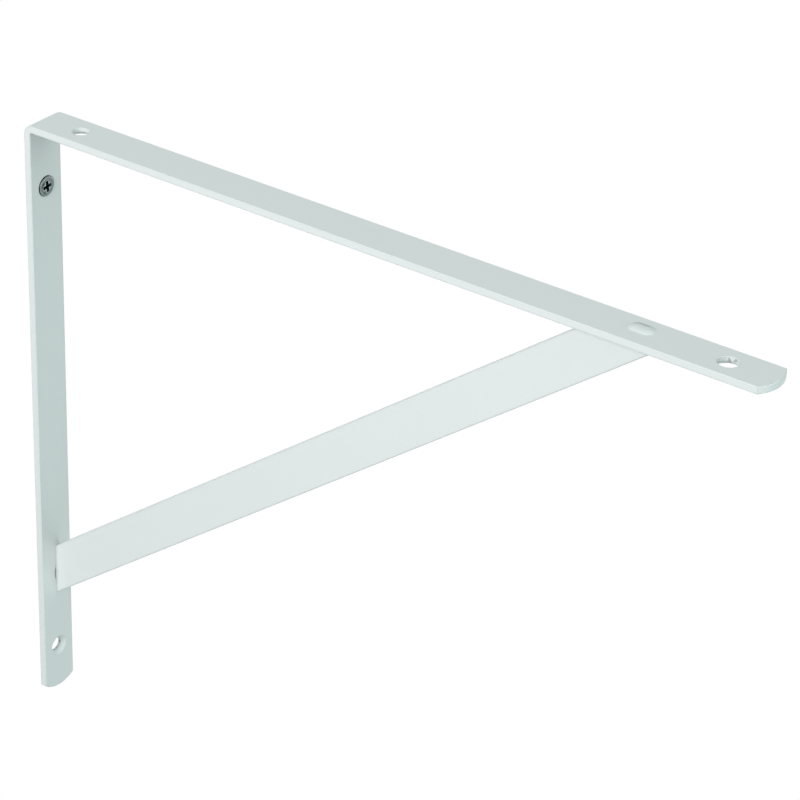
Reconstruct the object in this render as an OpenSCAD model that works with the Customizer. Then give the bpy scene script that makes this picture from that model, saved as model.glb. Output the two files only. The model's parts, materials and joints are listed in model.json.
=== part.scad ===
// Shelf bracket: a flat bar bent to a square corner, a diagonal brace tenoned into both arms,
// and the fixing screw of the upper wall hole.
// Millimetres. The wall is the plane X = 0 and the upper wall hole's axis is the X axis, so the
// origin is where that axis meets the wall. X runs out from the wall, Z runs up to the shelf.

/* [Flat bar] */
// Width of the bar that makes both arms, with its coat
bar_w = 20.2; // [16:0.1:30]
// Thickness of that bar with its coat
bar_t = 3.5; // [2.6:0.1:5]
// Rounding of the long edges of the bar and the brace
edge_r = 0.6; // [0.3:0.1:1.2]
// Inside radius of the bend
bend_in_r = 1.3; // [0.8:0.1:6]
// How far the arc of each free end stands out past its corners
end_rise = 3.4; // [2:0.1:8]
// How far each of these arcs is set to one side of the bar's middle
end_shift = 0.9; // [0:0.1:2]

/* [Arms] */
// Length of the shelf arm, from the wall to its end
shelf_arm_l = 374.8; // [300:0.1:500]
// Length of the wall arm, from the shelf to its end
wall_arm_l = 304.7; // [250:0.1:400]

/* [Screw holes] */
// Diameter of the wall arm's two holes
wall_hole_d = 6.6; // [5.4:0.1:8]
// Diameter of their countersinks, which open on the inside of the arm
sink_d = 10.4; // [9:0.1:12]
// Diameter of the shelf arm's hole near the bend
corner_hole_d = 7.5; // [5:0.1:9]
// Diameter of the shelf arm's hole near its end
outer_hole_d = 8.7; // [5:0.1:9]
// Diameter of the countersinks of these two holes, which open on the underside
shelf_sink_d = 10.8; // [9.6:0.1:12]
// Breaking of the rims of the holes
rim_break = 0.3; // [0.1:0.05:0.5]
// From the wall arm's end up to its lower hole
lower_hole_up = 23.3; // [18:0.1:40]
// From the shelf arm's end back to its outer hole
outer_hole_in = 22.8; // [18:0.1:40]
// From the wall out to the shelf arm's inner hole
corner_hole_out = 24.6; // [18:0.2:40]
// From the shelf down to the wall arm's upper hole
upper_hole_drop = 33; // [20:0.5:60]

/* [Brace] */
// Depth of the brace, seen from the side
brace_w = 21; // [14:0.5:30]
// Thickness of the brace
brace_t = 3.3; // [2.4:0.1:5]
// How far the brace stands to one side of the bar's middle
brace_shift = 1.1; // [0:0.1:3]
// From the wall arm's end up to the lower edge of the brace
foot_up = 54.5; // [45:0.1:90]
// From the shelf arm's end back to the lower edge of the brace
head_back = 50.2; // [42:0.1:90]

/* [Tenons] */
// Length of the tenon in the shelf arm
shelf_tenon_l = 8.2; // [6:0.2:12]
// Length of the tenon in the wall arm
wall_tenon_l = 6.5; // [5:0.1:10]
// From the brace's lower edge back to the middle of the shelf arm's tenon
shelf_tenon_in = 12.3; // [9:0.1:20]
// From the brace's lower edge up to the middle of the wall arm's tenon
wall_tenon_in = 11.2; // [8:0.1:17]
// Room between a tenon and the side of its slot
slot_gap = 0.8; // [0.2:0.1:1.2]
// Room between a tenon and the rounded ends of its slot
slot_end_gap = 0.1; // [0.05:0.05:0.5]
// Depth to which the slots flare out for the upset heads of the tenons
flare_depth = 1.2; // [0.5:0.1:1.4]
// Room between an upset head and its flare
head_gap = 0.05; // [0.02:0.01:0.3]
// Height of the shelf tenon's crown over its rim
crown_h = 0.9; // [0.2:0.05:1.2]

/* [Wall screw] */
// Diameter of the screw's shank, over its thread
screw_d = 5; // [4:0.1:5.2]
// Overall length of the screw
screw_l = 12; // [10:0.5:40]
// Length of the screw's point
point_l = 2.6; // [1.5:0.1:5]
// Diameter of the screw's blunt tip
tip_d = 0.6; // [0.2:0.1:1.5]
// Diameter of the screw's head
head_d = 9.4; // [8.5:0.1:10.2]
// Height of the head over its conical seat
head_h = 1.1; // [0.9:0.1:2.5]
// Rounding of the head's rim
head_round = 0.7; // [0.2:0.1:0.8]
// Room between the head's cone and the countersink
seat_gap = 0.05; // [0.02:0.01:0.2]
// Width of the cross recess, from tip to tip
recess_w = 6; // [3:0.1:6.5]
// Thickness of the recess's wings
recess_wing = 1.4; // [0.6:0.1:1.6]
// Depth of the cross recess
recess_depth = 2.4; // [1.2:0.1:3]
// How far the cross is turned, seen from the front
recess_turn = 7; // [-45:1:45]

/* [Hidden] */
$fn = 64;
// Cutters run this far past the faces that they cut
past = 1;

// The bend and the ends
bend_out_r = bend_in_r + bar_t;
end_r = arc_r(bar_w, end_rise);
shelf_z = upper_hole_drop;
under_z = shelf_z - bar_t;
wall_end_z = shelf_z - wall_arm_l;
bend_z = shelf_z - bend_out_r;

// The holes
lower_hole_z = wall_end_z + lower_hole_up;
outer_hole_x = shelf_arm_l - outer_hole_in;

// The brace: its lower edge runs from foot_z on the wall arm to head_x under the shelf arm
foot_z = wall_end_z + foot_up;
head_x = shelf_arm_l - head_back;
brace_angle = atan2(under_z - foot_z, head_x - bar_t);
brace_run = norm([head_x - bar_t, under_z - foot_z]);
// The strip is cut long, by enough for its square end to clear both arms
brace_spare = 2 * brace_w;

// The tenons and their slots
slot_w = brace_t + 2 * slot_gap;
tenon_corner = sqrt(pow(slot_w, 2) - pow(brace_t, 2)) / 2;
flare_w = slot_w + 2 * flare_depth;
shelf_tenon_x = head_x - shelf_tenon_in;
wall_tenon_z = foot_z + wall_tenon_in;

// The screw: its head's cone lies in the countersink, seat_gap clear of it
head_seat_x = bar_t + (head_d - sink_d) / 2 + seat_gap;
head_top_x = head_seat_x + head_h;
head_cone_l = (head_d - screw_d) / 2;
screw_tip_x = head_top_x - screw_l;

coat_white = [0.90, 0.93, 0.92];
screw_grey = [0.55, 0.58, 0.59];

// Distance between the end arcs of the slot that a tenon of length l passes through
function slot_pitch(l) = l - 2 * tenon_corner + 2 * slot_end_gap;

// Flat section w by t with rounded corners, its first corner at the origin
module rounded_section(w, t) {
    translate([edge_r, 0]) square([w - 2 * edge_r, t]);
    translate([0, edge_r]) square([w, t - 2 * edge_r]);
    for (x = [edge_r, w - edge_r], y = [edge_r, t - edge_r])
        translate([x, y]) circle(edge_r);
}

// Half section of the round end of an arm: a disc of radius end_r with rounded rims
module end_disc_section() {
    square([end_r - edge_r, bar_t]);
    translate([0, edge_r]) square([end_r, bar_t - 2 * edge_r]);
    for (y = [edge_r, bar_t - edge_r])
        translate([end_r - edge_r, y]) circle(edge_r);
}

// Straight arm along X from x = 0 to its rounded end at x = l, lying on z = 0 and centred on y = 0,
// with the arc of its end centred on y = shift
module arm(l, shift) {
    straight_l = l - end_r;
    translate([0, -bar_w / 2, 0]) rotate([90, 0, 90])
        linear_extrude(straight_l) rounded_section(bar_w, bar_t);
    translate([straight_l, 0, 0]) intersection() {
        translate([0, -bar_w / 2, 0]) rotate([90, 0, 90])
            linear_extrude(end_r + past) rounded_section(bar_w, bar_t);
        translate([0, shift, 0]) rotate_extrude() end_disc_section();
    }
}

// Quarter turn of the bar that joins the arms
module bend() {
    translate([bend_out_r, 0, bend_z]) rotate([90, 0, 180])
        rotate_extrude(angle = 90)
            translate([bend_in_r, bar_w / 2]) rotate(-90) rounded_section(bar_w, bar_t);
}

// Cutter for one hole of diameter d through an arm that lies on z = 0, countersunk to the diameter
// cone_d on the lower side, with a broken rim on the upper side
module screw_hole(d, cone_d) {
    cone = (cone_d - d) / 2;
    translate([0, 0, -past]) cylinder(h = bar_t + 2 * past, d = d);
    translate([0, 0, -past]) cylinder(h = cone + past, d1 = d + 2 * (cone + past), d2 = d);
    translate([0, 0, bar_t - rim_break])
        cylinder(h = rim_break + past, d1 = d, d2 = d + 2 * (rim_break + past));
}

// Round-ended bar of length pitch between its end axes, its width growing from w1 to w2 over h
module oblong(pitch, w1, w2, h) {
    for (x = [-pitch / 2, pitch / 2])
        translate([x, 0, 0]) cylinder(h = h, d1 = w1, d2 = w2);
    translate([-pitch / 2, 0, 0]) rotate([90, 0, 90]) linear_extrude(pitch)
        polygon([[-w1 / 2, 0], [w1 / 2, 0], [w2 / 2, h], [-w2 / 2, h]]);
}

// Cutter for one tenon's slot through an arm that lies on z = 0, flared at the top
module tenon_slot(l) {
    translate([0, 0, -past]) oblong(slot_pitch(l), slot_w, slot_w, bar_t + 2 * past);
    translate([0, 0, bar_t - flare_depth])
        oblong(slot_pitch(l), slot_w, flare_w + 2 * past, flare_depth + past);
}

// Tenon of length l standing on z = 0, upset into its flare, with a crown of height crown on it
module tenon(l, crown) {
    rim_w = flare_w - 4 * head_gap;
    head_base = bar_t - flare_depth + head_gap;
    translate([-l / 2, -brace_t / 2, -past]) cube([l, brace_t, past + head_base]);
    translate([0, 0, head_base])
        oblong(slot_pitch(l), slot_w, rim_w, flare_depth - 2 * head_gap);
    if (crown > 0)
        translate([0, 0, bar_t - head_gap]) tenon_crown(slot_pitch(l), rim_w, crown);
}

// Radius of an arc that rises by rise over a chord of the given length
function arc_r(chord, rise) = (pow(chord / 2, 2) + pow(rise, 2)) / (2 * rise);

// Arc section of width w and height h, standing on y = 0
module dome_section(w, h) {
    r = arc_r(w, h);
    intersection() {
        translate([0, h - r]) circle(r);
        translate([-w / 2, 0]) square([w, h]);
    }
}

// Round-ended dome on z = 0, h high: the section drawn out over the pitch and turned at both ends
module tenon_crown(pitch, w, h) {
    translate([-pitch / 2, 0, 0]) rotate([90, 0, 90]) linear_extrude(pitch) dome_section(w, h);
    for (x = [-pitch / 2, pitch / 2])
        translate([x, 0, 0]) rotate_extrude() intersection() {
            dome_section(w, h);
            square([w, h]);
        }
}

// Puts a shape made on an arm that lies on z = 0 onto the shelf arm
module on_shelf_arm(x, y = 0) {
    translate([x, y, under_z]) children();
}

// Puts a shape made on an arm that lies on z = 0, upper side to the wall, onto the wall arm
module on_wall_arm(z, y = 0) {
    translate([bar_t, y, z]) rotate([0, -90, 0]) children();
}

module angle_bar() {
    color(coat_white) difference() {
        union() {
            translate([bend_out_r, 0, under_z]) arm(shelf_arm_l - bend_out_r, end_shift);
            translate([bar_t, 0, bend_z]) rotate([180, 90, 0]) arm(wall_arm_l - bend_out_r, -end_shift);
            bend();
        }
        on_shelf_arm(corner_hole_out) screw_hole(corner_hole_d, shelf_sink_d);
        on_shelf_arm(outer_hole_x) screw_hole(outer_hole_d, shelf_sink_d);
        for (z = [0, lower_hole_z])
            on_wall_arm(z) screw_hole(wall_hole_d, sink_d);
        on_shelf_arm(shelf_tenon_x, brace_shift) tenon_slot(shelf_tenon_l);
        on_wall_arm(wall_tenon_z, brace_shift) tenon_slot(wall_tenon_l);
    }
}

module brace() {
    color(coat_white) {
        intersection() {
            translate([bar_t, brace_shift, foot_z]) rotate([0, -brace_angle, 0])
                translate([-brace_spare, -brace_t / 2, 0]) rotate([90, 0, 90])
                    linear_extrude(brace_run + 2 * brace_spare)
                        rounded_section(brace_t, brace_w);
            translate([bar_t, -bar_w, wall_end_z])
                cube([shelf_arm_l, 2 * bar_w, under_z - wall_end_z]);
        }
        on_shelf_arm(shelf_tenon_x, brace_shift) tenon(shelf_tenon_l, crown_h);
        on_wall_arm(wall_tenon_z, brace_shift) tenon(wall_tenon_l, 0);
    }
}

// Half section of the screw: radius along X, the screw's axis along Y with its head upwards
module screw_section() {
    polygon([
        [0, screw_tip_x],
        [tip_d / 2, screw_tip_x],
        [screw_d / 2, screw_tip_x + point_l],
        [screw_d / 2, head_seat_x - head_cone_l],
        [head_d / 2, head_seat_x],
        [head_d / 2, head_top_x - head_round],
        [head_d / 2 - head_round, head_top_x],
        [0, head_top_x],
    ]);
    translate([head_d / 2 - head_round, head_top_x - head_round]) circle(head_round);
}

// Cutter for the cross recess: two tapered wings and a cone between them, opening at z = 0
module cross_recess() {
    foot_w = recess_wing;
    for (turn = [0, 90])
        rotate(turn) translate([0, recess_wing / 2, 0]) rotate([90, 0, 0])
            linear_extrude(recess_wing)
                polygon([
                    [-foot_w / 2, -recess_depth],
                    [foot_w / 2, -recess_depth],
                    [recess_w / 2, 0],
                    [recess_w / 2, past],
                    [-recess_w / 2, past],
                    [-recess_w / 2, 0],
                ]);
    translate([0, 0, -recess_depth])
        cylinder(h = recess_depth, d1 = foot_w, d2 = 2 * recess_wing);
}

module wall_screw() {
    color(screw_grey) rotate([0, 90, 0]) difference() {
        rotate_extrude() screw_section();
        translate([0, 0, head_top_x]) rotate(recess_turn) cross_recess();
    }
}

angle_bar();
brace();
wall_screw();
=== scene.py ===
# %% [markdown]
# # A white shelf bracket
#
# This lesson dresses a shelf bracket: a flat steel bar bent to a square corner, a diagonal brace
# whose tenons pass through both arms, and the fixing screw of the upper wall hole. The measured
# solids come in as a fixed frame, in metres, with the wall at X = 0 and the shelf on top. The
# frame is never moved. Finishes go on it, and a piece that needs finer form is modelled beside it
# and takes its place.

# %% Load the measured frame
import json
from math import asin, cos, hypot, pi, radians, sin, tau

import bpy
from mathutils import Matrix, Vector


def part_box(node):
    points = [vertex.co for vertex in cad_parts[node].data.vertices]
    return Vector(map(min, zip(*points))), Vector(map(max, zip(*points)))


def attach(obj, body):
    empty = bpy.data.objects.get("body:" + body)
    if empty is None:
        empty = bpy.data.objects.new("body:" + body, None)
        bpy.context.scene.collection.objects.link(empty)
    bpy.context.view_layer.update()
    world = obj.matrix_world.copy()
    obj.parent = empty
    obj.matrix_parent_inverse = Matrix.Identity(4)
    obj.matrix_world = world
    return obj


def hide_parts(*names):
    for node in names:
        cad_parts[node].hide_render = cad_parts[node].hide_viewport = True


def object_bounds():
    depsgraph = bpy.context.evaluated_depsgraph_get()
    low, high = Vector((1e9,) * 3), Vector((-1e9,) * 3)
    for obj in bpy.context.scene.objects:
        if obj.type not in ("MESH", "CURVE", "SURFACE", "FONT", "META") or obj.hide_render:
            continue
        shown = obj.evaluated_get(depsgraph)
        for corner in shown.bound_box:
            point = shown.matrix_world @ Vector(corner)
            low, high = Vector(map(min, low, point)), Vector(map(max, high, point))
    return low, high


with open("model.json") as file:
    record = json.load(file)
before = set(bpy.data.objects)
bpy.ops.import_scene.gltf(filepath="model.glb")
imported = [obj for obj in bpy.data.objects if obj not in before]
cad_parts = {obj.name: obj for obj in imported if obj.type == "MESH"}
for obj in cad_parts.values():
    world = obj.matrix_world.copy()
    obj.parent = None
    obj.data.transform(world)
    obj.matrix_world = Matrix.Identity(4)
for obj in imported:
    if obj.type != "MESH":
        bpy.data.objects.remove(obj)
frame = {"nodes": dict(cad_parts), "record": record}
cad_low, cad_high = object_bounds()
record = frame["record"]
MM = 0.001
print("nodes", sorted(frame["nodes"]), "size in mm", [round(s / MM, 1) for s in cad_high - cad_low])

# %% [markdown]
# ## The camera
#
# A camera can be placed by eye, by moving it until the picture looks right, or worked out from
# straight edges that are known to be square to each other. The bar's long edges are such lines, so
# the angles below come from them. The camera looks at a point on the bracket's middle plane, with
# a long lens, so that the arms keep nearly the same width from end to end.

# %% Place the camera
CAMERA_TURN = radians(34.51)
CAMERA_RISE = radians(29.84)
CAMERA_ROLL = radians(2.27)
CAMERA_AIM = Vector((0.19967, 0, -0.03918))
CAMERA_DISTANCE = 1.25821
LENS_MM = 134.44
SENSOR_MM = 36

towards_camera = Vector((
    sin(CAMERA_TURN) * cos(CAMERA_RISE),
    -cos(CAMERA_TURN) * cos(CAMERA_RISE),
    sin(CAMERA_RISE),
))
bpy.ops.object.select_all(action="DESELECT")
bpy.ops.object.camera_add(location=CAMERA_AIM + towards_camera * CAMERA_DISTANCE)
camera = bpy.context.object
camera.rotation_mode = "QUATERNION"
level_view = (-towards_camera).to_track_quat("-Z", "Y").to_matrix().to_4x4()
camera.rotation_quaternion = (level_view @ Matrix.Rotation(CAMERA_ROLL, 4, "Z")).to_quaternion()
camera.data.lens = LENS_MM
camera.data.sensor_width = SENSOR_MM
camera.data.sensor_fit = "HORIZONTAL"
bpy.context.scene.camera = camera
print("camera at", [round(v, 3) for v in camera.location])

# %% [markdown]
# ## Floor, backdrop and light
#
# The bracket is photographed on a seamless white ground, in soft light that comes from all round.
# One strong lamp would throw the arm's shadow on the brace, which a studio avoids with diffusers. So
# a cool fill does half of the work here. A broad lamp in front, a little lower than the camera, lights
# the near faces, and its shadows fall where the camera can't see them. A second one lights the wall
# arm from the shelf's side. A floor far below keeps the bracket's shadow without showing it in the
# picture. The ground shows white to the camera and to reflections, but it lights the bracket only as
# a pale floor would.

# %% Build the ground and the lights
FLOOR_DROP = 0.30
FLOOR_SIZE = 8
FLOOR_GREY = (0.37, 0.40, 0.40, 1)
SHADOW_SHARE = 0.012
PURE_WHITE = (1, 1, 1, 1)
FILL_COLOUR = (0.86, 1.0, 0.99, 1)
FILL_STRENGTH = 0.465
FRONT_PLACE = (0.15, -1.40, 0.62)
FRONT_SIZE = 0.8
FRONT_WATTS = 16.3
FRONT_COLOUR = (1.0, 0.97, 0.975)
SIDE_PLACE = (2.80, 0.30, 0.45)
SIDE_SIZE = 1.4
SIDE_WATTS = 23.5
SIDE_COLOUR = (0.86, 1.0, 0.975)


def seen_directly(nodes, links):
    """A mask that is 1 for what the camera, a reflection or clear glass sees."""
    path = nodes.new("ShaderNodeLightPath")
    either = nodes.new("ShaderNodeMath")
    either.operation = "MAXIMUM"
    links.new(path.outputs["Is Camera Ray"], either.inputs[0])
    links.new(path.outputs["Is Glossy Ray"], either.inputs[1])
    any_of_three = nodes.new("ShaderNodeMath")
    any_of_three.operation = "MAXIMUM"
    links.new(either.outputs[0], any_of_three.inputs[0])
    links.new(path.outputs["Is Transmission Ray"], any_of_three.inputs[1])
    return any_of_three.outputs[0]


def white_ground():
    """Paper that lights the bracket as a pale floor does but shows white when it is seen."""
    ground = bpy.data.materials.new("white_ground")
    ground.use_nodes = True
    nodes, links = ground.node_tree.nodes, ground.node_tree.links
    nodes.clear()
    paper = nodes.new("ShaderNodeBsdfDiffuse")
    paper.inputs["Color"].default_value = FLOOR_GREY
    white = nodes.new("ShaderNodeEmission")
    white.inputs["Strength"].default_value = 1 / (1 - SHADOW_SHARE)
    share = nodes.new("ShaderNodeMath")
    share.operation = "MULTIPLY"
    share.inputs[1].default_value = 1 - SHADOW_SHARE
    links.new(seen_directly(nodes, links), share.inputs[0])
    mix = nodes.new("ShaderNodeMixShader")
    links.new(share.outputs[0], mix.inputs["Fac"])
    links.new(paper.outputs[0], mix.inputs[1])
    links.new(white.outputs[0], mix.inputs[2])
    out = nodes.new("ShaderNodeOutputMaterial")
    links.new(mix.outputs[0], out.inputs["Surface"])
    return ground


def white_world():
    """A cool fill for the bracket, and plain white for whatever sees the world directly."""
    world = bpy.data.worlds.new("white_studio")
    world.use_nodes = True
    nodes, links = world.node_tree.nodes, world.node_tree.links
    nodes.clear()
    fill = nodes.new("ShaderNodeBackground")
    fill.inputs["Color"].default_value = FILL_COLOUR
    fill.inputs["Strength"].default_value = FILL_STRENGTH
    white = nodes.new("ShaderNodeBackground")
    white.inputs["Strength"].default_value = 1
    white.inputs["Color"].default_value = PURE_WHITE
    mix = nodes.new("ShaderNodeMixShader")
    links.new(seen_directly(nodes, links), mix.inputs["Fac"])
    links.new(fill.outputs[0], mix.inputs[1])
    links.new(white.outputs[0], mix.inputs[2])
    out = nodes.new("ShaderNodeOutputWorld")
    links.new(mix.outputs[0], out.inputs["Surface"])
    return world


def softbox(name, place, size, watts, colour):
    """A square lamp at a place, turned to the middle of the bracket."""
    bpy.ops.object.light_add(type="AREA", location=place)
    lamp = bpy.context.object
    lamp.name = name
    lamp.data.size = size
    lamp.data.energy = watts
    lamp.data.color = colour
    lamp.rotation_mode = "QUATERNION"
    lamp.rotation_quaternion = (CAMERA_AIM - Vector(place)).to_track_quat("-Z", "Y")


bpy.ops.mesh.primitive_plane_add(size=FLOOR_SIZE, location=(0, 0, cad_low.z - FLOOR_DROP))
floor = bpy.context.object
floor.name = "floor"
floor.data.materials.append(white_ground())
bpy.context.scene.world = white_world()
softbox("front_softbox", FRONT_PLACE, FRONT_SIZE, FRONT_WATTS, FRONT_COLOUR)
softbox("side_softbox", SIDE_PLACE, SIDE_SIZE, SIDE_WATTS, SIDE_COLOUR)
bpy.context.scene.view_settings.view_transform = "Standard"
print("floor at", round(floor.location.z, 3), "lamps at", FRONT_PLACE, SIDE_PLACE)

# %% [markdown]
# ## White powder coat
#
# Powder is sprayed on the steel and baked, so it flows into a satin skin with a faint orange peel.
# A bump map could come from a picture, but noise in object coordinates needs no unwrapping and keeps
# its true scale on every piece. Slow noise shifts the tone a little, as the thickness of the coat
# does, and fine noise makes the peel. Molten powder draws back from sharp edges, so the coat is thin
# there and a little steel grey comes through; that grey is also painted shade, which tones down the
# bright line the lamps put on the rounded edges. Looking for near walls from inside the metal finds
# those edges, on any shape and without painting a mask. Little powder gets into a narrow gap, such as
# the one round a tenon, so the same search from outside finds the gaps and lets dark steel show
# there, which is also painted shade in the gaps.
# The walls of the two holes near the arms' ends get painted shade in patches. The record says where
# the holes are, so a noise is let through only near their middles.

# %% Helpers for node trees
def ramp(nodes, links, value, start, stop, low=0, high=1):
    """Follows a value on its way from start to stop, and goes evenly from low to high."""
    slope = nodes.new("ShaderNodeMapRange")
    slope.inputs["From Min"].default_value = start
    slope.inputs["From Max"].default_value = stop
    slope.inputs["To Min"].default_value = low
    slope.inputs["To Max"].default_value = high
    links.new(value, slope.inputs["Value"])
    return slope.outputs["Result"]


def combined(nodes, links, operation, first, second):
    """Makes one mask of two by a math operation."""
    pair = nodes.new("ShaderNodeMath")
    pair.operation = operation
    links.new(first, pair.inputs[0])
    links.new(second, pair.inputs[1])
    return pair.outputs[0]


def laid_over(nodes, links, mask, below, colour):
    """Lays a colour over the one below it, as far as the mask lets it through."""
    mix = nodes.new("ShaderNodeMix")
    mix.data_type = "RGBA"
    mix.inputs["B"].default_value = colour
    links.new(mask, mix.inputs["Factor"])
    links.new(below, mix.inputs["A"])
    return mix.outputs["Result"]


# %% The orange peel, as a group
PEEL_PER_METRE = 900
PEEL_DETAIL = 1.5
CLOUD_PER_METRE = 22
CLOUD_DETAIL = 3


def orange_peel_group():
    """Fine noise for the height of the peel and slow noise for the tone of the coat."""
    group = bpy.data.node_groups.new("orange_peel", "ShaderNodeTree")
    group.interface.new_socket("Place", in_out="INPUT", socket_type="NodeSocketVector")
    group.interface.new_socket("Height", in_out="OUTPUT", socket_type="NodeSocketFloat")
    group.interface.new_socket("Cloud", in_out="OUTPUT", socket_type="NodeSocketFloat")
    nodes, links = group.nodes, group.links
    start = nodes.new("NodeGroupInput")
    end = nodes.new("NodeGroupOutput")
    fine = ("Height", PEEL_PER_METRE, PEEL_DETAIL)
    slow = ("Cloud", CLOUD_PER_METRE, CLOUD_DETAIL)
    for socket, scale, detail in (fine, slow):
        noise = nodes.new("ShaderNodeTexNoise")
        noise.inputs["Scale"].default_value = scale
        noise.inputs["Detail"].default_value = detail
        links.new(start.outputs["Place"], noise.inputs["Vector"])
        links.new(noise.outputs["Fac"], end.inputs[socket])
    return group


orange_peel = orange_peel_group()
print("group", orange_peel.name, "puts out", [s.name for s in orange_peel.interface.items_tree])

# %% The edge mask, as a group
SEARCH_SAMPLES = 8
EDGE_REACH = 0.9 * MM
EDGE_OPEN = 1.0
EDGE_SHUT = 0.45


def edge_mask_group():
    """A mask that grows where other walls are found near by from inside the metal."""
    group = bpy.data.node_groups.new("edge_mask", "ShaderNodeTree")
    group.interface.new_socket("Mask", in_out="OUTPUT", socket_type="NodeSocketFloat")
    nodes, links = group.nodes, group.links
    end = nodes.new("NodeGroupOutput")
    near_edge = nodes.new("ShaderNodeAmbientOcclusion")
    near_edge.inside = True
    near_edge.samples = SEARCH_SAMPLES
    near_edge.inputs["Distance"].default_value = EDGE_REACH
    thin = ramp(nodes, links, near_edge.outputs["AO"], EDGE_OPEN, EDGE_SHUT)
    links.new(thin, end.inputs["Mask"])
    return group


edge_mask = edge_mask_group()
print("group", edge_mask.name, "reaches", EDGE_REACH / MM, "mm in from an edge")

# %% The narrow gaps, as a group
def narrow_gaps_group():
    """A mask that grows where other walls are found near by from outside the metal."""
    group = bpy.data.node_groups.new("narrow_gaps", "ShaderNodeTree")
    for name in ("Reach", "Open", "Shut"):
        group.interface.new_socket(name, in_out="INPUT", socket_type="NodeSocketFloat")
    group.interface.new_socket("Mask", in_out="OUTPUT", socket_type="NodeSocketFloat")
    nodes, links = group.nodes, group.links
    start = nodes.new("NodeGroupInput")
    end = nodes.new("NodeGroupOutput")
    shut_in = nodes.new("ShaderNodeAmbientOcclusion")
    shut_in.samples = SEARCH_SAMPLES
    links.new(start.outputs["Reach"], shut_in.inputs["Distance"])
    gap = nodes.new("ShaderNodeMapRange")
    links.new(start.outputs["Open"], gap.inputs["From Min"])
    links.new(start.outputs["Shut"], gap.inputs["From Max"])
    links.new(shut_in.outputs["AO"], gap.inputs["Value"])
    links.new(gap.outputs["Result"], end.inputs["Mask"])
    return group


narrow_gaps = narrow_gaps_group()
print("group", narrow_gaps.name, "finds walls that face each other")

# %% The patches of painted shade in the holes, as a group
PATCH_PER_METRE = 600
PATCH_FROM = 0.50
PATCH_TO = 0.62
PATCH_SHARE = 0.65
BORE_SPARE = 0.05 * MM
BORE_FADE = 0.1 * MM
SHADED_HOLES = ("outer_shelf_hole", "lower_wall_hole")


def bore_shade_patches_group(bores):
    """A noise that is let through only near the middles of the bores."""
    group = bpy.data.node_groups.new("bore_shade_patches", "ShaderNodeTree")
    group.interface.new_socket("Place", in_out="INPUT", socket_type="NodeSocketVector")
    group.interface.new_socket("Mask", in_out="OUTPUT", socket_type="NodeSocketFloat")
    nodes, links = group.nodes, group.links
    start = nodes.new("NodeGroupInput")
    end = nodes.new("NodeGroupOutput")
    patches = nodes.new("ShaderNodeTexNoise")
    patches.inputs["Scale"].default_value = PATCH_PER_METRE
    links.new(start.outputs["Place"], patches.inputs["Vector"])
    patchy_shade = ramp(nodes, links, patches.outputs["Fac"], PATCH_FROM, PATCH_TO, high=PATCH_SHARE)
    near_bores = []
    for bore in bores:
        reach = hypot(bore["dims"]["r_mm"], bore["dims"]["length_mm"] / 2) * MM + BORE_SPARE
        away = nodes.new("ShaderNodeVectorMath")
        away.operation = "DISTANCE"
        away.inputs[1].default_value = bore["pos_m"]
        links.new(start.outputs["Place"], away.inputs[0])
        near_bores.append(ramp(nodes, links, away.outputs["Value"], reach + BORE_FADE, reach))
    in_a_bore = near_bores[0]
    for near in near_bores[1:]:
        in_a_bore = combined(nodes, links, "MAXIMUM", in_a_bore, near)
    links.new(combined(nodes, links, "MULTIPLY", patchy_shade, in_a_bore), end.inputs["Mask"])
    return group


# Painted shade in patches on the walls of these two holes.
holes = [m for m in record["mounts"] if m["name"] in SHADED_HOLES]
bore_shade_patches = bore_shade_patches_group(holes)
print("group", bore_shade_patches.name, "for", [hole["name"] for hole in holes])

# %% The coat itself
COAT_WHITE = (0.815, 0.845, 0.838, 1)
COAT_SHADE = (0.790, 0.825, 0.818, 1)
# Grey on edges: the thin coat, and painted shade that tones down the lit roundings.
COAT_THIN_AND_SHADED = (0.60, 0.635, 0.63, 1)
# Dark steel in narrow gaps, the starved coat and painted shade, and in the patches of painted shade in
# two holes.
COAT_STARVED_AND_SHADED = (0.26, 0.29, 0.285, 1)
STARVED_SHADE_REACH = 1.2 * MM
STARVED_SHADE_OPEN = 0.22
STARVED_SHADE_SHUT = 0.06
COAT_SPECULAR = 0.4
COAT_SMOOTHEST = 0.36
COAT_ROUGHEST = 0.46
PEEL_STRENGTH = 0.25
PEEL_DEPTH = 0.02 * MM
COATED = ("angle_bar", "brace")


def thin_starved_and_shaded(nodes, links, colour):
    """The coat's colour: grey thin edges and dark starved gaps, both also painted shade, and patches
    of painted shade in two holes.
    """
    edges = nodes.new("ShaderNodeGroup")
    edges.node_tree = edge_mask
    # Painted shade and the thin coat's grey on the edges.
    thinned_and_shaded = laid_over(nodes, links, edges.outputs["Mask"], colour, COAT_THIN_AND_SHADED)
    gaps = nodes.new("ShaderNodeGroup")
    gaps.node_tree = narrow_gaps
    gaps.inputs["Reach"].default_value = STARVED_SHADE_REACH
    gaps.inputs["Open"].default_value = STARVED_SHADE_OPEN
    gaps.inputs["Shut"].default_value = STARVED_SHADE_SHUT
    # Painted shade and the starved coat's dark steel in narrow gaps.
    starved_and_shaded = laid_over(nodes, links, gaps.outputs["Mask"], thinned_and_shaded, COAT_STARVED_AND_SHADED)
    place = nodes.new("ShaderNodeTexCoord")
    patches = nodes.new("ShaderNodeGroup")
    patches.node_tree = bore_shade_patches
    links.new(place.outputs["Object"], patches.inputs["Place"])
    # Patches of painted shade in the walls of two holes.
    return laid_over(nodes, links, patches.outputs["Mask"], starved_and_shaded, COAT_STARVED_AND_SHADED)


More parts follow.
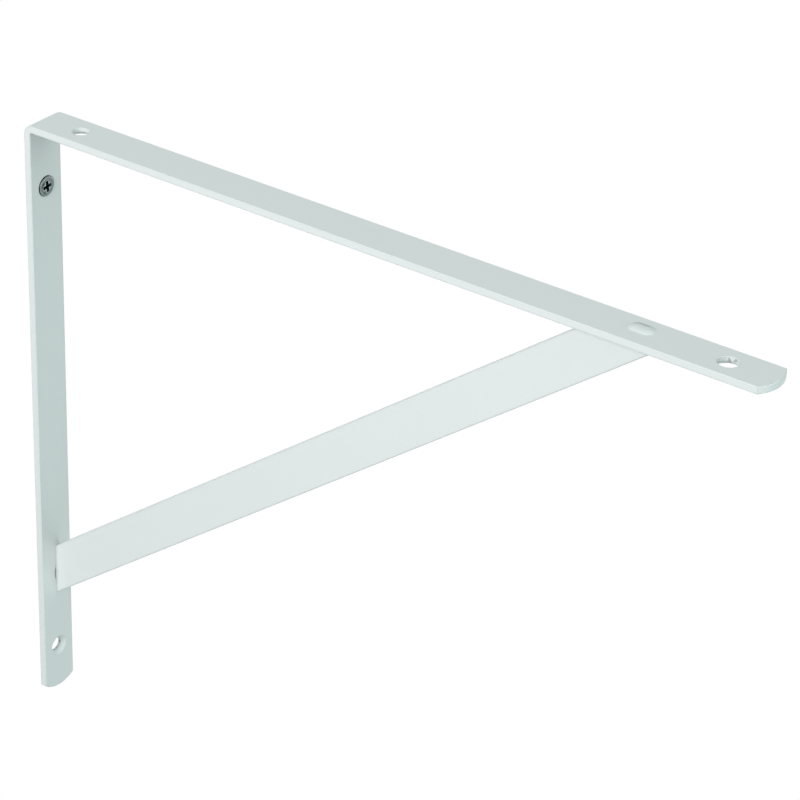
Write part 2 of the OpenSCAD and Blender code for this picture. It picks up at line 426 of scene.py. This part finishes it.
def coat_material(name, last_step):
    """The white coat, whose even colour goes through one last step before it is used."""
    coat = bpy.data.materials.new(name)
    coat.use_nodes = True
    nodes, links = coat.node_tree.nodes, coat.node_tree.links
    skin = nodes["Principled BSDF"]
    skin.inputs["Specular IOR Level"].default_value = COAT_SPECULAR
    place = nodes.new("ShaderNodeTexCoord")
    peel = nodes.new("ShaderNodeGroup")
    peel.node_tree = orange_peel
    links.new(place.outputs["Object"], peel.inputs["Place"])
    tone = nodes.new("ShaderNodeMix")
    tone.data_type = "RGBA"
    tone.inputs["A"].default_value = COAT_SHADE
    tone.inputs["B"].default_value = COAT_WHITE
    links.new(peel.outputs["Cloud"], tone.inputs["Factor"])
    links.new(last_step(nodes, links, tone.outputs["Result"]), skin.inputs["Base Color"])
    rough = ramp(nodes, links, peel.outputs["Cloud"], 0, 1, COAT_SMOOTHEST, COAT_ROUGHEST)
    links.new(rough, skin.inputs["Roughness"])
    bump = nodes.new("ShaderNodeBump")
    bump.inputs["Strength"].default_value = PEEL_STRENGTH
    bump.inputs["Distance"].default_value = PEEL_DEPTH
    links.new(peel.outputs["Height"], bump.inputs["Height"])
    links.new(bump.outputs["Normal"], skin.inputs["Normal"])
    return coat


white_coat = coat_material("white_coat", thin_starved_and_shaded)
for name in COATED:
    node = frame["nodes"][name]
    node.data.materials.clear()
    node.data.materials.append(white_coat)
print("coated", COATED)

# %% [markdown]
# ## The coat over the shelf tenon
#
# The brace's tenon is upset into a flare in the shelf arm and stands up there as a low crown. The
# coat bridges the hair-thin gap round it, rounds the crown's rim and runs out on the arm. Along the
# crown's far side a dark line of painted shade is laid on the coat. A sheet could be
# draped over the crown, but rings inset from an oblong, each a little higher than the last, give full
# control over the skin's slope.

# %% Helpers for shaping in edit mode
def start_clean(name):
    """Names the primitive that was just added and puts its place and turn into its mesh."""
    piece = bpy.context.object
    piece.name = name
    bpy.ops.object.transform_apply(location=True, rotation=True, scale=True)
    return piece


def pick_faces(piece, test):
    """Opens the piece in edit mode with only the faces selected whose middle passes the test."""
    bpy.context.tool_settings.mesh_select_mode = (False, False, True)
    bpy.ops.object.mode_set(mode="EDIT")
    bpy.ops.mesh.select_all(action="DESELECT")
    bpy.ops.object.mode_set(mode="OBJECT")
    for face in piece.data.polygons:
        face.select = test(face.center)
    bpy.ops.object.mode_set(mode="EDIT")


def pick_points(piece, test):
    """Opens the piece in edit mode with only the points selected whose place passes the test."""
    bpy.context.tool_settings.mesh_select_mode = (True, False, False)
    bpy.ops.object.mode_set(mode="EDIT")
    bpy.ops.mesh.select_all(action="DESELECT")
    bpy.ops.object.mode_set(mode="OBJECT")
    for point in piece.data.vertices:
        point.select = test(point.co)
    bpy.ops.object.mode_set(mode="EDIT")


def apply_modifiers(piece):
    """Applies every modifier of the piece in turn and leaves only the piece selected."""
    bpy.ops.object.select_all(action="DESELECT")
    piece.select_set(True)
    bpy.context.view_layer.objects.active = piece
    for modifier in list(piece.modifiers):
        bpy.ops.object.modifier_apply(modifier=modifier.name)


def cut_or_join(piece, tool, operation):
    """Cuts the tool out of the piece or joins it on, and removes the tool."""
    boolean = piece.modifiers.new(operation.lower(), "BOOLEAN")
    boolean.object = tool
    boolean.operation = operation
    boolean.solver = "EXACT"
    boolean.material_mode = "TRANSFER"
    apply_modifiers(piece)
    bpy.data.objects.remove(tool)


# %% Measure the crown
RIM_DEPTH = 0.1 * MM
COVER_LAP = 0.05 * MM

arm_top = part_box("angle_bar")[1].z
crown = [p.co for p in frame["nodes"]["brace"].data.vertices if p.co.z > arm_top - RIM_DEPTH]
crown_from = Vector((min(c.x for c in crown), min(c.y for c in crown), arm_top))
crown_to = Vector((max(c.x for c in crown), max(c.y for c in crown), arm_top))
crown_size = crown_to - crown_from
crown_middle = (crown_from + crown_to) / 2
crown_pitch = crown_size.x - crown_size.y
cover_r = crown_size.y / 2 + COVER_LAP
print("crown", round(crown_size.x / MM, 2), "by", round(crown_size.y / MM, 2), "mm")

# %% The painted shade behind the crown
SHADE_LINE_FROM = -1.6 * MM
SHADE_LINE_TO = -0.1 * MM
SHADE_LINE_ALONG = 4.6 * MM
# Painted shade: a dark line laid on the coat along the crown's far side.
COAT_PAINTED_SHADE = (0.52, 0.55, 0.545, 1)

shade_line_y = crown_middle.y + cover_r
shade_line_x = crown_middle.x


def shade_behind_crown(nodes, links, colour):
    """The coat's colour with a line of painted shade along the crown's far side, fading towards the
    arm's end.
    """
    place = nodes.new("ShaderNodeTexCoord")
    parts = nodes.new("ShaderNodeSeparateXYZ")
    links.new(place.outputs["Object"], parts.inputs[0])
    behind = ramp(nodes, links, parts.outputs["Y"], shade_line_y + SHADE_LINE_FROM, shade_line_y + SHADE_LINE_TO)
    along = ramp(nodes, links, parts.outputs["X"], shade_line_x + SHADE_LINE_ALONG, shade_line_x)
    both = combined(nodes, links, "MULTIPLY", behind, along)
    return laid_over(nodes, links, both, colour, COAT_PAINTED_SHADE)


crown_shade_coat = coat_material("crown_shade_coat", shade_behind_crown)
print("coat", crown_shade_coat.name)

# %% Lay the coat over the tenon
COVER_H = 0.98 * MM
COVER_ROOT = 0.03 * MM
SKIRT_LAP = 0.95 * MM
SKIRT_H = 0.02 * MM
FOLD_LAP = 0.12 * MM
COVER_POINTS = 48
COVER_STEPS = 8
COVER_SMOOTH = radians(60)

cap_r = (cover_r ** 2 + COVER_H ** 2) / (2 * COVER_H)
rim_slope = asin(cover_r / cap_r)
bpy.ops.object.select_all(action="DESELECT")
bpy.ops.mesh.primitive_cylinder_add(
    vertices=COVER_POINTS, radius=cover_r + SKIRT_LAP, depth=COVER_ROOT,
    location=crown_middle + Vector((-crown_pitch / 2, 0, SKIRT_H - COVER_ROOT / 2)),
    rotation=(0, 0, pi / COVER_POINTS),
)
cover = start_clean("tenon_coat")
pick_points(cover, lambda place: place.x > crown_middle.x - crown_pitch / 2)
bpy.ops.transform.translate(value=(crown_pitch, 0, 0))
bpy.ops.object.mode_set(mode="OBJECT")

slopes = [rim_slope * (1 - i / COVER_STEPS) for i in range(COVER_STEPS)]
cover_rings = [(cover_r + FOLD_LAP, SKIRT_H)]
cover_rings += [(cap_r * sin(a), SKIRT_H + cap_r * (cos(a) - cos(rim_slope))) for a in slopes]
pick_faces(cover, lambda middle: middle.z > arm_top + SKIRT_H / 2)
at_r, at_z = cover_r + SKIRT_LAP, SKIRT_H
for r, z in cover_rings:
    bpy.ops.mesh.inset(thickness=at_r - r, depth=z - at_z)
    at_r, at_z = r, z
bpy.ops.object.mode_set(mode="OBJECT")
bpy.ops.object.shade_smooth_by_angle(angle=COVER_SMOOTH)
cover.data.materials.append(crown_shade_coat)
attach(cover, "root")
print("tenon coat", len(cover.data.polygons), "faces")

# %% [markdown]
# ## Screw steel
#
# The screw is zinc-plated steel that has dulled to a mid grey, and its cross recess is painted
# dark as shade. A picture of worn zinc could be wrapped round it, but at this size a slow noise that
# blends a bright and a dull zinc, with the gloss following the same noise, reads the same and needs no
# seams.
# The group that finds edges makes them bright, as handling rubs them, and this is also a painted
# highlight on the rim. Where the metal is shut in, as between the head and the countersink, the group
# that finds narrow gaps lays on painted shade, with a dark colour of its own.

# %% The dulled zinc, as a group
BLOOM_PER_METRE = 330
BLOOM_DETAIL = 4
BLOOM_FROM = 0.34
BLOOM_TO = 0.66
ZINC_SMOOTHEST = 0.26
ZINC_ROUGHEST = 0.48


def zinc_bloom_group():
    """A slow noise that blends two zincs, with the roughness following it."""
    group = bpy.data.node_groups.new("zinc_bloom", "ShaderNodeTree")
    group.interface.new_socket("Place", in_out="INPUT", socket_type="NodeSocketVector")
    group.interface.new_socket("Bright", in_out="INPUT", socket_type="NodeSocketColor")
    group.interface.new_socket("Dull", in_out="INPUT", socket_type="NodeSocketColor")
    group.interface.new_socket("Colour", in_out="OUTPUT", socket_type="NodeSocketColor")
    group.interface.new_socket("Roughness", in_out="OUTPUT", socket_type="NodeSocketFloat")
    nodes, links = group.nodes, group.links
    start = nodes.new("NodeGroupInput")
    end = nodes.new("NodeGroupOutput")
    bloom = nodes.new("ShaderNodeTexNoise")
    bloom.inputs["Scale"].default_value = BLOOM_PER_METRE
    bloom.inputs["Detail"].default_value = BLOOM_DETAIL
    links.new(start.outputs["Place"], bloom.inputs["Vector"])
    spread = ramp(nodes, links, bloom.outputs["Fac"], BLOOM_FROM, BLOOM_TO)
    mix = nodes.new("ShaderNodeMix")
    mix.data_type = "RGBA"
    links.new(spread, mix.inputs["Factor"])
    links.new(start.outputs["Bright"], mix.inputs["A"])
    links.new(start.outputs["Dull"], mix.inputs["B"])
    links.new(mix.outputs["Result"], end.inputs["Colour"])
    rough = ramp(nodes, links, spread, 0, 1, ZINC_SMOOTHEST, ZINC_ROUGHEST)
    links.new(rough, end.inputs["Roughness"])
    return group


zinc_bloom = zinc_bloom_group()
print("group", zinc_bloom.name, "puts out", [s.name for s in zinc_bloom.interface.items_tree])

# %% The screw's zinc, and a darker copy that paints the shade in the recess
ZINC_BRIGHT = (0.155, 0.21, 0.207, 1)
ZINC_DULL = (0.042, 0.070, 0.068, 1)
# Bright on edges: rubbed zinc, and a painted highlight on the rim.
ZINC_WORN_AND_GLINT = (0.66, 0.72, 0.71, 1)
# Painted shade in the cross recess: a darker copy of the zinc.
RECESS_SHADE_BRIGHT = (0.030, 0.065, 0.065, 1)
RECESS_SHADE_DULL = (0.018, 0.042, 0.042, 1)
# Painted shade in the gap between the head and the countersink.
GAP_SHADE = (0.016, 0.022, 0.022, 1)
GAP_SHADE_REACH = 2.0 * MM
GAP_SHADE_OPEN = 0.86
GAP_SHADE_SHUT = 0.60


def zinc_material(name, bright, dull, worn_and_glint, gap_shade):
    """Zinc with bright edges, rubbed and painted highlight, and painted shade where it is shut in."""
    zinc = bpy.data.materials.new(name)
    zinc.use_nodes = True
    nodes, links = zinc.node_tree.nodes, zinc.node_tree.links
    skin = nodes["Principled BSDF"]
    skin.inputs["Metallic"].default_value = 1
    place = nodes.new("ShaderNodeTexCoord")
    bloom = nodes.new("ShaderNodeGroup")
    bloom.node_tree = zinc_bloom
    bloom.inputs["Bright"].default_value = bright
    bloom.inputs["Dull"].default_value = dull
    links.new(place.outputs["Object"], bloom.inputs["Place"])
    edges = nodes.new("ShaderNodeGroup")
    edges.node_tree = edge_mask
    # Edges rubbed bright, which is also a painted highlight.
    rubbed_and_glint = laid_over(nodes, links, edges.outputs["Mask"], bloom.outputs["Colour"], worn_and_glint)
    gaps = nodes.new("ShaderNodeGroup")
    gaps.node_tree = narrow_gaps
    gaps.inputs["Reach"].default_value = GAP_SHADE_REACH
    gaps.inputs["Open"].default_value = GAP_SHADE_OPEN
    gaps.inputs["Shut"].default_value = GAP_SHADE_SHUT
    # Painted shade where the metal is shut in.
    gap_shaded = laid_over(nodes, links, gaps.outputs["Mask"], rubbed_and_glint, gap_shade)
    links.new(gap_shaded, skin.inputs["Base Color"])
    links.new(bloom.outputs["Roughness"], skin.inputs["Roughness"])
    return zinc


screw_zinc = zinc_material("screw_zinc", ZINC_BRIGHT, ZINC_DULL, ZINC_WORN_AND_GLINT, GAP_SHADE)
shaded_recess_zinc = zinc_material("shaded_recess_zinc", RECESS_SHADE_BRIGHT, RECESS_SHADE_DULL, RECESS_SHADE_BRIGHT, RECESS_SHADE_DULL)
print("metals", screw_zinc.name, shaded_recess_zinc.name)

# %% [markdown]
# ## The wall screw
#
# The measured screw is plain along its shank, because its thread is too fine for the solids. The
# real one is headed from wire and its thread is rolled on. It could be spun from a half outline, but
# drawing a small cylinder out ring by ring shows each step of the form: the point, the core, the
# cone under the head and the rounded rim. The frame gives its length, its width and its place.

# %% Draw out the screw's body
screw_low, screw_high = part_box("wall_screw")
shank = next(m["dims"] for m in record["mounts"] if m["name"] == "wall_screw")
CREST_R = shank["r_mm"] * MM
HEAD_R = screw_high.y
CORE_R = 1.75 * MM
TIP_R = 0.3 * MM
POINT_L = 2.6 * MM
RIM_ROUND = 0.7 * MM
HEAD_H = 1.1 * MM
RIM_STEPS = 6
RING_POINTS = 64

tip_x, top_x = screw_low.x, screw_high.x
seat_x = top_x - HEAD_H
neck_x = seat_x - (HEAD_R - CREST_R)
rim_arc = [i / RIM_STEPS * pi / 2 for i in range(1, RIM_STEPS + 1)]
rim_x = top_x - RIM_ROUND
body_stations = [
    (tip_x + POINT_L, CORE_R),
    (neck_x - (CREST_R - CORE_R), CORE_R),
    (neck_x, CREST_R),
    (seat_x, HEAD_R),
    (rim_x, HEAD_R),
]
body_stations += [
    (rim_x + RIM_ROUND * sin(a), HEAD_R - RIM_ROUND * (1 - cos(a))) for a in rim_arc
]

bpy.ops.object.select_all(action="DESELECT")
bpy.ops.mesh.primitive_cylinder_add(
    vertices=RING_POINTS, radius=TIP_R, depth=TIP_R,
    location=(tip_x + TIP_R / 2, 0, 0), rotation=(0, pi / 2, 0),
)
screw = start_clean("threaded_wall_screw")
at_x, at_r = tip_x + TIP_R, TIP_R
pick_faces(screw, lambda middle: middle.x > at_x - TIP_R / 4)
for x, r in body_stations:
    bpy.ops.mesh.extrude_region_move(TRANSFORM_OT_translate={"value": (x - at_x, 0, 0)})
    bpy.ops.transform.resize(value=(1, r / at_r, r / at_r), center_override=(x, 0, 0))
    at_x, at_r = x, r
bpy.ops.object.mode_set(mode="OBJECT")
screw.data.materials.append(screw_zinc)
print("screw body", len(screw.data.polygons), "faces,", round((top_x - tip_x) / MM, 2), "mm long")

# %% [markdown]
# The cross recess is pressed in by a punch with four tapering wings. Two crossed bars could be cut
# out one after the other, but a post with a wing drawn out of each side makes one clean punch. Its
# foot is drawn in and its edges are beveled, so the recess tapers and keeps soft corners, and the
# cut faces take the punch's darker zinc, which paints the shade in the recess.

# %% Press the cross recess
PUNCH_SPAN = 5.9 * MM
PUNCH_WING = 1.95 * MM
PUNCH_TAPER = 0.5
PUNCH_SPARE = 0.3 * MM
PUNCH_SOFT = 0.18 * MM
PUNCH_SHARP = radians(40)
PUNCH_SEGMENTS = 3
RECESS_DEPTH = 2.4 * MM
RECESS_TURN = radians(7)

punch_h = RECESS_DEPTH + PUNCH_SPARE
punch_x = top_x + PUNCH_SPARE - punch_h / 2
bpy.ops.object.select_all(action="DESELECT")
bpy.ops.mesh.primitive_cube_add(size=1, location=(punch_x, 0, 0))
bpy.context.object.scale = (punch_h, PUNCH_WING, PUNCH_WING)
punch = start_clean("punch")
pick_faces(punch, lambda middle: abs(middle.x - punch_x) < punch_h / 4)
bpy.ops.mesh.extrude_faces_move(
    TRANSFORM_OT_shrink_fatten={"value": (PUNCH_SPAN - PUNCH_WING) / 2},
)
bpy.ops.object.mode_set(mode="OBJECT")
pick_points(punch, lambda place: place.x < punch_x)
bpy.ops.transform.resize(value=(1, PUNCH_TAPER, PUNCH_TAPER), center_override=(punch_x, 0, 0))
bpy.context.tool_settings.mesh_select_mode = (False, True, False)
bpy.ops.mesh.select_all(action="DESELECT")
bpy.ops.mesh.edges_select_sharp(sharpness=PUNCH_SHARP)
bpy.ops.mesh.bevel(offset=PUNCH_SOFT, segments=PUNCH_SEGMENTS, affect="EDGES")
bpy.ops.object.mode_set(mode="OBJECT")
punch.rotation_euler = (RECESS_TURN, 0, 0)
bpy.ops.object.transform_apply(location=False, rotation=True, scale=False)
# The punch carries the darker zinc, which paints the shade in the recess.
punch.data.materials.append(shaded_recess_zinc)
print("punch", [round(s / MM, 2) for s in punch.dimensions], "mm,", len(punch.data.polygons), "faces")
cut_or_join(screw, punch, "DIFFERENCE")
print("recess pressed in, screw now", len(screw.data.polygons), "faces")

# %% [markdown]
# The thread is one four-cornered wire wound round the core. A Screw modifier winds it, and its inner
# half stays inside the core. Its side corners lie a little below the core's skin, and it is turned
# by a hair so that no point of it meets an edge of the core, so the two cross cleanly when they are
# joined. At the point the turns close in with the core, and under the head the last half turn sinks
# away, as a rolled thread runs out.

# %% Wind the thread
PITCH = 1.9 * MM
THREAD_W = 0.55 * MM
WIRE_SINK = 0.15 * MM
WIRE_CORNERS = 4
STEPS_PER_TURN = 40
TIP_PLAIN = 0.85 * MM
NECK_PLAIN = 0.9 * MM

wire_r = CORE_R - WIRE_SINK
thread_from = tip_x + TIP_PLAIN
thread_to = neck_x - NECK_PLAIN
turns = int((thread_to - thread_from) / PITCH)
bpy.ops.object.select_all(action="DESELECT")
bpy.ops.mesh.primitive_circle_add(
    vertices=WIRE_CORNERS, radius=1, fill_type="NOTHING", rotation=(pi / 2, 0, 0),
)
thread = start_clean("thread")
bpy.ops.object.mode_set(mode="EDIT")
bpy.ops.mesh.select_all(action="SELECT")
bpy.ops.transform.resize(value=(THREAD_W, 1, CREST_R - wire_r), center_override=(0, 0, 0))
bpy.ops.transform.translate(value=(thread_from, 0, wire_r))
bpy.ops.object.mode_set(mode="OBJECT")
winding = thread.modifiers.new("winding", "SCREW")
winding.axis = "X"
winding.angle = tau
winding.screw_offset = PITCH
winding.iterations = turns
winding.steps = STEPS_PER_TURN
winding.render_steps = STEPS_PER_TURN
winding.use_merge_vertices = False
apply_modifiers(thread)
print("thread wound,", turns, "turns and", len(thread.data.vertices), "points")

# %% Close the thread in at both ends
RUN_OUT_TURNS = 0.5

tip_share = TIP_R / CORE_R
run_out_from = thread_from + (turns - RUN_OUT_TURNS) * PITCH


def share_left(place, full_at, none_at):
    """1 beyond full_at, and falling evenly from there to 0 at none_at."""
    return max(0, min(1, (place - none_at) / (full_at - none_at)))


for point in thread.data.vertices:
    from_axis = Vector((0, point.co.y, point.co.z))
    taper = tip_share + (1 - tip_share) * share_left(point.co.x, tip_x + POINT_L, tip_x)
    sunk_share = 1 - share_left(point.co.x, run_out_from, thread_to)
    sunk = max(0, from_axis.length - wire_r) * sunk_share
    point.co += from_axis.normalized() * ((from_axis.length - sunk) * taper - from_axis.length)
print("thread runs out from", round(run_out_from / MM, 2), "to", round(thread_to / MM, 2), "mm")

# %% Join the thread to the body
THREAD_TURN = radians(0.56)
SCREW_SMOOTH = radians(32)

bpy.ops.object.mode_set(mode="EDIT")
bpy.ops.mesh.select_all(action="DESELECT")
bpy.context.tool_settings.mesh_select_mode = (False, True, False)
bpy.ops.mesh.select_non_manifold()
bpy.ops.mesh.fill_holes(sides=WIRE_CORNERS)
bpy.ops.mesh.select_all(action="SELECT")
bpy.ops.mesh.normals_make_consistent(inside=False)
bpy.ops.object.mode_set(mode="OBJECT")
thread.rotation_euler = (THREAD_TURN, 0, 0)
bpy.ops.object.transform_apply(location=False, rotation=True, scale=False)
thread.data.materials.append(screw_zinc)
cut_or_join(screw, thread, "UNION")
bpy.ops.object.shade_smooth_by_angle(angle=SCREW_SMOOTH)
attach(screw, "root")
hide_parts("wall_screw")
print("finished screw", len(screw.data.polygons), "faces")
